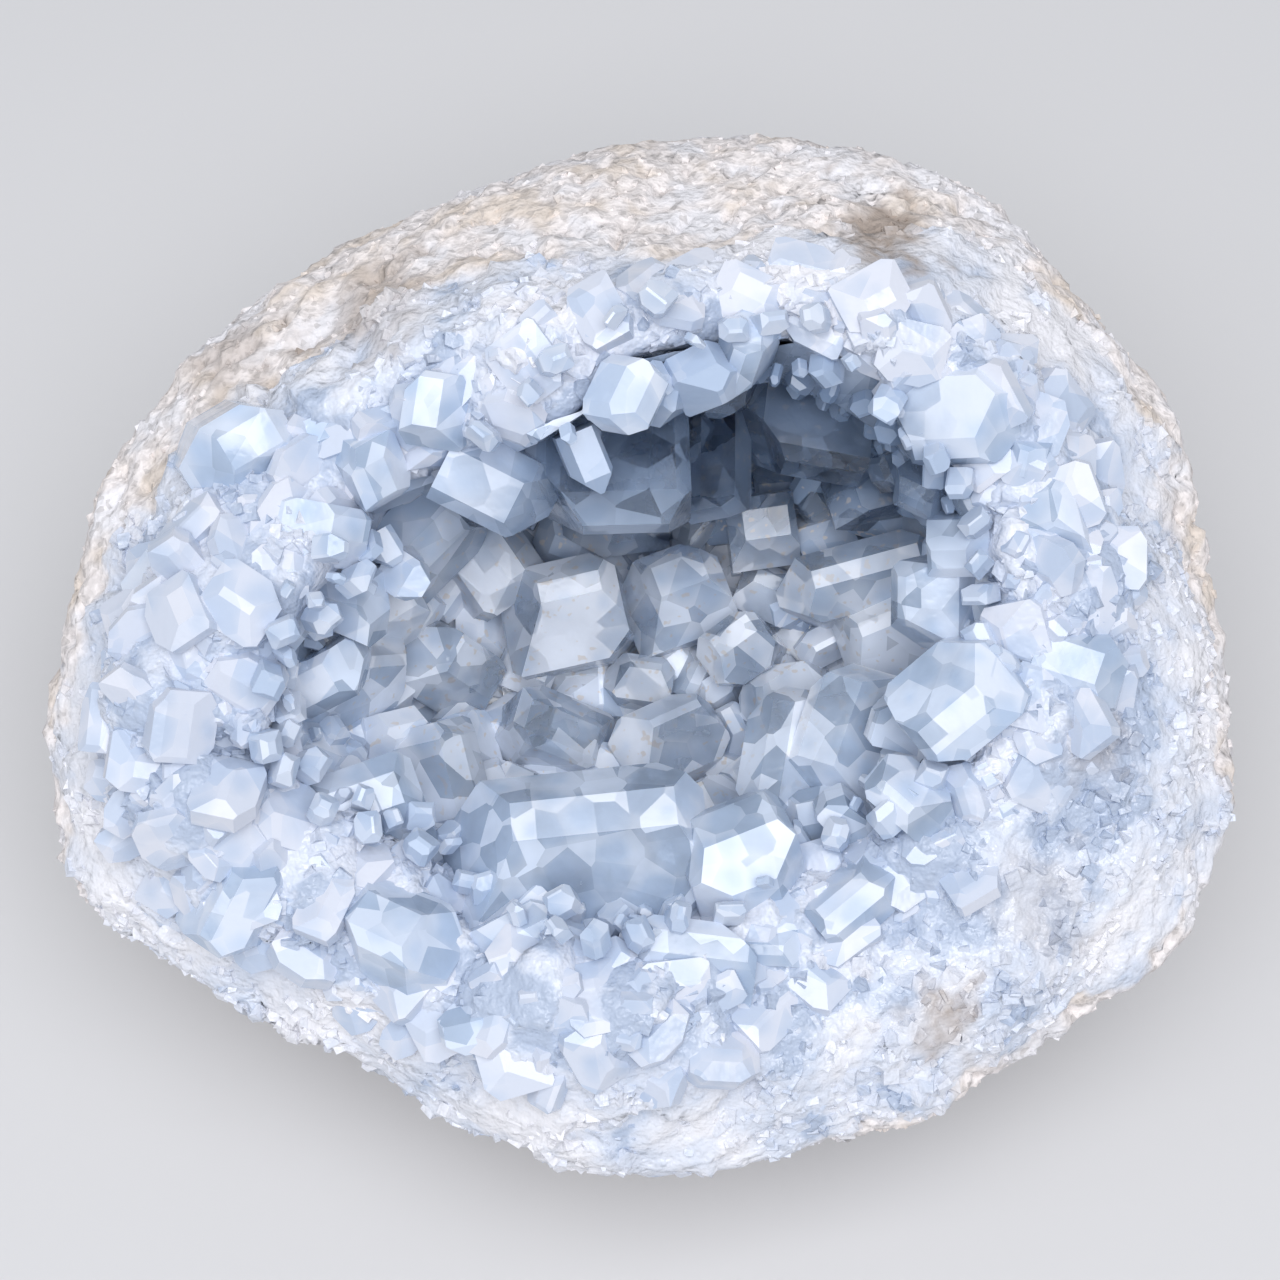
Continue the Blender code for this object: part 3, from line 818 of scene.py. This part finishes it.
@dataclass
class CrystalCrust:
    """The large crystals that line the hollow, grown together in one body."""

    flat_angle: float = math.radians(1.0)
    edge_width: float = 0.14
    seed: int = 2
    tree: BVHTree = field(init=False)

    def build(self, finish: bpy.types.Material) -> bpy.types.Object:
        """Wears the edges of a copy of the CAD crust.

        Args:
            finish: The crystals' material.

        Returns:
            The piece, which stands for the CAD crust.
        """
        mesh = copy_of_node(CRUST_NODE)
        self.tree = BVHTree.FromBMesh(mesh)
        bmesh.ops.dissolve_limit(mesh, angle_limit=self.flat_angle, verts=mesh.verts,
                                 edges=mesh.edges)
        chance = np.random.default_rng(self.seed)
        facet, edge = (mesh.faces.layers.float.new(name) for name in ("facet", "edge"))
        for face in mesh.faces:
            face[facet] = chance.random()
        worn = bmesh.ops.bevel(mesh, geom=mesh.edges[:], offset=self.edge_width * MM,
                               affect="EDGES", segments=1, profile=0.5, material=-1,
                               clamp_overlap=True)
        for face in worn["faces"]:
            face[edge] = 1.0
        bmesh.ops.triangulate(mesh, faces=mesh.faces)
        data = bpy.data.meshes.new("crystal_bodies")
        mesh.to_mesh(data)
        mesh.free()
        places = FACE.from_world(np.array([vert.co[:] for vert in data.vertices]))
        # shade is painted shade under the hood; dust also paints the hollow's crystals whiter,
        # partly dust and partly a painted lift of light.
        paint(data, milk=milkiness(places), dust=RIM.hollow(places), shade=hood_shade_and_rim_blue(places))
        piece = add_piece("crystal_bodies", data, finish)
        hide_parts(CRUST_NODE)
        return piece

    def depth_inside(self, places: np.ndarray) -> np.ndarray:
        """How far inside the crust each place is, in millimetres, and less than 0 outside."""
        depths = []
        for point in map(Vector, FACE.to_world(places).tolist()):
            near, normal, _, away = self.tree.find_nearest(point)
            depths.append(math.copysign(away, (near - point).dot(normal)) / MM)
        return np.array(depths)


def stone_height(places: np.ndarray) -> np.ndarray:
    """Height over the resting surface, in millimetres."""
    return FACE.to_world(places)[:, 2] / MM


@dataclass
class Grains:
    """Small angular grains that cover the stone, sown at random in one zone."""

    name: str
    zone: Zone
    seed: int
    tries: int
    sizes: tuple[float, float]
    inner_sizes: tuple[float, float]
    spacing: float = 0.33
    sunk: float = -0.32
    patch: float = 7.0
    patch_bar: tuple[float, float] = (-0.5, 0.35)
    thinning: float = 0.35
    lowest: float = 2.5
    kinds: int = 14

    def build(self, stone: StoneShell, crust: CrystalCrust,
              finish: bpy.types.Material, slot: str) -> bpy.types.Object:
        """Sows the grains and joins them in one piece.

        Args:
            stone: The stone that they stand on.
            crust: The crystals that they keep out of.
            finish: Their material.
            slot: The record's material slot; not used.

        Returns:
            The piece.
        """
        chance = np.random.default_rng(self.seed)
        places, normals = stone.sow(self.tries, chance)
        rind, inward = RIM.rind(places), RIM.inward(places)
        wanted = rind > 0.5 if self.zone is Zone.RIND else (rind < 0.6) & (inward < 1.15)
        wanted &= stone_height(places) > self.lowest
        bar = chance.uniform(*self.patch_bar, len(places)) + self.thinning * fade(inward, 0.2, 0.6)
        wanted &= waves(places, self.patch, Draw.PATCHES) > bar
        places, normals, inward = places[wanted], normals[wanted], inward[wanted]
        part = fade(inward, 0.15, 0.9)
        low = self.sizes[0] + (self.inner_sizes[0] - self.sizes[0]) * part
        high = self.sizes[1] + (self.inner_sizes[1] - self.sizes[1]) * part
        sizes = low + (high - low) * chance.random(len(places)) ** 2
        order = np.argsort(-sizes, kind="stable")
        places, normals, sizes = places[order], normals[order], sizes[order]
        kept = thin_out(places, sizes * self.spacing)
        places, normals, sizes = places[kept], normals[kept], sizes[kept]
        clear = crust.depth_inside(places + normals * 0.5) < 0.4
        places, normals, sizes = places[clear], normals[clear], sizes[clear]
        frames = turns(len(sizes), chance) * sizes[:, None, None]
        bases = places + normals * (sizes * self.sunk)[:, None]
        shapes = [Chunk().make(chance) for _ in range(self.kinds)]
        data = sown_mesh(self.name, shapes, frames, bases, chance, rind=RIM.rind(bases),
                         stain=RIM.stain(bases), hollow=np.zeros(len(sizes)),
                         tone=RIM.tone(bases) + chance.normal(0, 0.12, len(sizes)))
        return add_piece(self.name, data, finish)


@dataclass
class Druse:
    """Small crystals that stand between the large ones, sown from large to small."""

    name: str
    seed: int
    tries: int
    widths: tuple[float, float]
    rises: tuple[float, float] = (0.3, 0.85)
    depths: tuple[float, float] = (0.6, 1.0)
    spacing: float = 0.42
    reach: tuple[float, float] = (0.98, 9.0)
    lining: float = 3.2
    least_mass: float = -1.0
    lean: float = 0.45
    slant: float = 0.3
    blending: float = 0.16
    buried: float = 2.0
    kinds: int = 18

    def build(self, stone: StoneShell, crust: CrystalCrust,
              finish: bpy.types.Material) -> bpy.types.Object:
        """Sows the crystals over the crust's lining and joins them in one piece.

        Args:
            stone: The stone behind the crust.
            crust: The large crystals, which they keep out of.
            finish: Their material.

        Returns:
            The piece.
        """
        chance = np.random.default_rng(self.seed)
        places, normals = stone.sow(self.tries, chance)
        inward = RIM.inward(places)
        wanted = (inward > self.reach[0]) & (inward < self.reach[1])
        wanted &= (RIM.rind(places) < 0.3) & (places[:, 2] > RIM.underside)
        wanted &= RIM.mass(places) > self.least_mass
        places, normals = places[wanted], normals[wanted]
        widths = self.widths[0] + (self.widths[1] - self.widths[0]) * (
            chance.random(len(places)) ** 1.6)
        order = np.argsort(-widths, kind="stable")
        places, normals, widths = places[order], normals[order], widths[order]
        kept = thin_out(places, widths * self.spacing)
        places, normals, widths = places[kept], normals[kept], widths[kept]

        ground = places + normals * self.lining
        open_air = crust.depth_inside(ground + normals * (0.6 * widths)[:, None]) < 0.5
        ground, normals, widths = ground[open_air], normals[open_air], widths[open_air]
        growth = normals + chance.uniform(-self.lean, self.lean, normals.shape)
        growth += np.array((0, 0, self.slant))
        growth /= np.linalg.norm(growth, axis=1)[:, None]
        bury = np.minimum(self.buried, widths)
        lengths = bury + widths * chance.uniform(*self.rises, len(widths))
        spans = np.stack((widths, widths * chance.uniform(*self.depths, len(widths)), lengths), 1)
        frames = growth_frames(growth, chance) * spans[:, None, :]
        bases = ground - growth * bury[:, None]
        shapes = [Blade().make(chance) for _ in range(self.kinds)]
        milk = milkiness(ground) + chance.normal(0, self.blending, len(widths))
        # shade is painted shade under the hood; dust also paints the hollow's crystals whiter,
        # partly dust and partly a painted lift of light.
        data = sown_mesh(self.name, shapes, frames, bases, chance,
                         milk=np.maximum(milk, 0), dust=RIM.hollow(ground),
                         shade=hood_shade_and_rim_blue(ground) * 0.9)
        return add_piece(self.name, data, finish)


@dataclass(frozen=True)
class Lamp:
    """A soft square light that looks at the geode."""

    name: str
    azimuth: float
    elevation: float
    distance: float
    size: float
    power: float
    colour: Colour = (1.0, 1.0, 1.0)


@dataclass
class Studio:
    """The floor, the lights and the camera at the photograph's viewing angle."""

    floor_size: float = 4.0
    floor_colour: Colour = (0.62, 0.62, 0.63)
    sky: Colour = (0.82, 0.84, 0.88)
    sky_strength: float = 0.62
    lamps: tuple[Lamp, ...] = (
        Lamp("key_light", 8, 68, 0.60, 0.50, 3.15, (0.98, 0.98, 1.0)),
        Lamp("fill_light", -60, 45, 0.70, 0.40, 0.5, (0.96, 0.98, 1.0)),
    )
    lens: float = 85.0
    distance: float = 261.0
    aim: tuple[float, float, float] = (0.0, -0.3, 0.0)

    def build(self) -> None:
        """Sets up the whole studio."""
        self.lay_floor()
        for lamp in self.lamps:
            self.hang(lamp)
        world = bpy.data.worlds.new("soft_sky")
        world.use_nodes = True
        background = world.node_tree.nodes["Background"]
        background.inputs["Color"].default_value = (*self.sky, 1)
        background.inputs["Strength"].default_value = self.sky_strength
        bpy.context.scene.world = world
        bpy.context.scene.view_settings.view_transform = "Standard"
        self.stand_camera()

    def lay_floor(self) -> None:
        """Lays the pale floor that the geode rests on."""
        mesh = bmesh.new()
        bmesh.ops.create_grid(mesh, x_segments=1, y_segments=1, size=self.floor_size / 2)
        data = bpy.data.meshes.new("floor")
        mesh.to_mesh(data)
        mesh.free()
        recipe = Recipe("floor_paper")
        grain = recipe.noise(60.0, 2)
        tone = recipe.mix(grain, self.floor_colour, tuple(c * 0.97 for c in self.floor_colour))
        data.materials.append(recipe.finish(recipe.shader(Base_Color=tone, Roughness=0.85)))
        floor = bpy.data.objects.new("floor", data)
        bpy.context.scene.collection.objects.link(floor)

    def hang(self, lamp: Lamp) -> None:
        """Hangs one soft light."""
        light = bpy.data.lights.new(lamp.name, "AREA")
        light.shape = "SQUARE"
        light.size = lamp.size
        light.energy = lamp.power
        light.color = lamp.colour
        turn, rise = math.radians(lamp.azimuth), math.radians(lamp.elevation)
        away = Vector((math.sin(turn) * math.cos(rise), -math.cos(turn) * math.cos(rise),
                       math.sin(rise)))
        holder = bpy.data.objects.new(lamp.name, light)
        holder.location = Vector(FACE.centre) + away * lamp.distance
        holder.rotation_euler = away.to_track_quat("Z", "Y").to_euler()
        bpy.context.scene.collection.objects.link(holder)

    def stand_camera(self) -> None:
        """Stands the camera square over the broken face."""
        camera = bpy.data.cameras.new("camera")
        camera.lens = self.lens
        camera.clip_start = 0.01
        eye = bpy.data.objects.new("camera", camera)
        u, v, w = (Vector(axis) for axis in FACE.axes)
        target = Vector(FACE.to_world(np.array(self.aim)))
        eye.matrix_world = Matrix.Translation(target + w * self.distance * MM) @ Matrix(
            (u, v, w)).transposed().to_4x4()
        bpy.context.scene.collection.objects.link(eye)
        bpy.context.scene.camera = eye


def main() -> None:
    """Builds the geode's pieces in order, then the studio."""
    logging.basicConfig(level=logging.INFO, format="%(name)s: %(message)s")
    stone_finish = StoneFinish().make()
    clear_finish = CrystalFinish("large_celestite").make()
    small_finish = CrystalFinish(
        "small_celestite", see_through=False, milky_blue=(0.50, 0.60, 0.76),
        milky_white=(0.74, 0.79, 0.88)).make()
    rim_finish = CrystalFinish(
        "rim_celestite", see_through=False, milky_blue=(0.56, 0.64, 0.78),
        milky_white=(0.80, 0.81, 0.87)).make()
    stone = StoneShell()
    stone.build(stone_finish)
    crust = CrystalCrust()
    crust.build(clear_finish)
    Druse("medium_crystals", seed=3, tries=26000, widths=(2.6, 5.6),
          reach=(1.14, 9.0)).build(stone, crust, small_finish)
    Druse("fine_crystals", seed=4, tries=40000, widths=(1.1, 2.6), rises=(0.1, 0.45),
          reach=(0.96, 9.0), spacing=0.7).build(stone, crust, small_finish)
    Druse("rim_crystals", seed=7, tries=40000, widths=(1.6, 6.0), rises=(-0.04, 0.2),
          reach=(0.3, 1.08), lining=0, least_mass=0.35, spacing=0.34, lean=0.6, buried=1.5,
          blending=0.06).build(stone, crust, rim_finish)
    Grains("rim_grains", Zone.RIM, seed=5, tries=60000, sizes=(0.5, 1.3),
           inner_sizes=(0.6, 1.6)).build(stone, crust, stone_finish, STONE_SLOT)
    Grains("rind_grit", Zone.RIND, seed=6, tries=16000, sizes=(0.3, 0.8),
           inner_sizes=(0.3, 0.8), kinds=8).build(stone, crust, stone_finish, STONE_SLOT)
    Studio().build()


if __name__ == "__main__":
    main()
